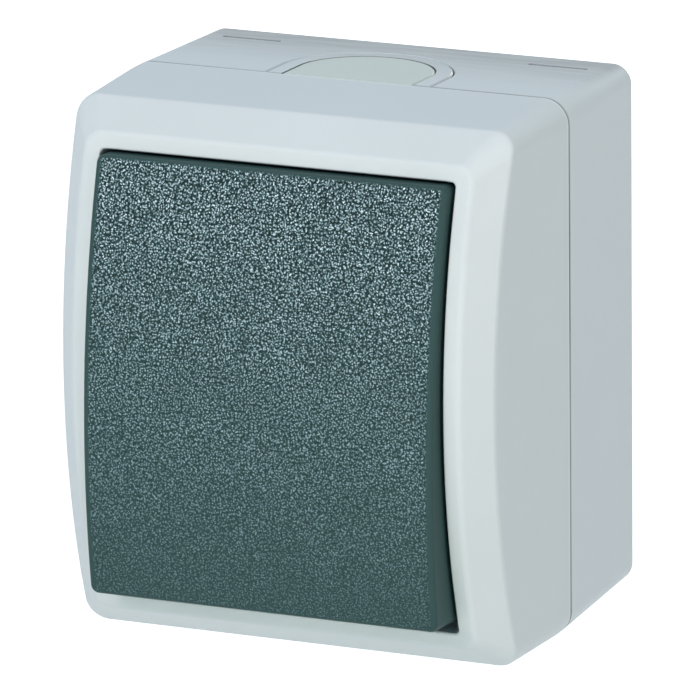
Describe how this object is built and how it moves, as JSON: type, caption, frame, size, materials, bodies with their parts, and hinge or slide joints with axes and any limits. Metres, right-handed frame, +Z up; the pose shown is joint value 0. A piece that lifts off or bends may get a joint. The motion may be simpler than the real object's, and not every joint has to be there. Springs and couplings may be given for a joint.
{
  "type": "surface mounted light switch",
  "caption": "Surface mounted rocker light switch for damp rooms: drafted wall box, bowed cover with a bevelled frame, wide tilting rocker and soft cable entries.",
  "frame": {"origin": "middle of the box's flat back, on the wall", "axes": "+X across the switch, +Y out of its back into the wall, +Z up the wall; the rocker faces -Y"},
  "size_m": [0.066, 0.0576, 0.0764],
  "materials": {
    "housing": "light grey moulded plastic, satin",
    "rocker": "dark blue-green grey moulded plastic with a sparkling grain on its face",
    "membrane": "soft greenish grey moulded rubber",
    "gasket": "dark grey moulded rubber",
    "insulation": "off-white moulded insulation",
    "cradle": "pale grey low-friction plastic",
    "zinc_plate": "zinc plated steel",
    "screw_steel": "zinc plated steel screws",
    "spring_steel": "drawn spring wire",
    "contact_metal": "stamped brass with contact tips"
  },
  "bodies": {
    "housing": {"back_box": "housing", "front_cover": "housing", "cover_gasket": "gasket", "cable_entry_top": "housing", "cable_entry_bottom": "housing", "membrane_top": "membrane", "membrane_bottom": "membrane", "support_frame": "zinc_plate", "mechanism_base": "insulation", "frame_rivets": "zinc_plate", "bearing_tower": "insulation", "window_seal": "gasket", "fixed_contact_top": "contact_metal", "fixed_contact_bottom": "contact_metal", "common_contact": "contact_metal", "terminal_clamps": "zinc_plate", "terminal_screws": "screw_steel", "frame_screws": "screw_steel", "cover_screws": "screw_steel", "screw_seals": "gasket"},
    "rocker_group": {"rocker": "rocker", "rocking_cradle": "cradle", "spring_plunger": "cradle", "toggle_spring": "spring_steel"},
    "contact_group": {"moving_contact": "contact_metal"}
  },
  "joints": [
    {"name": "rocker_tilt", "type": "hinge", "parent": "housing", "child": "rocker_group", "pos_m": [0, -0.0418, 0], "axis": [1, 0, 0], "range_deg": [0, 8.6]},
    {"name": "contact_swing", "type": "hinge", "parent": "housing", "child": "contact_group", "pos_m": [0, -0.0175, 0], "axis": [1, 0, 0], "range_deg": [-12.9, 0]}
  ],
  "couplings": [
    {"joint": "contact_swing", "follows": "rocker_tilt", "ratio": -1.5}
  ]
}
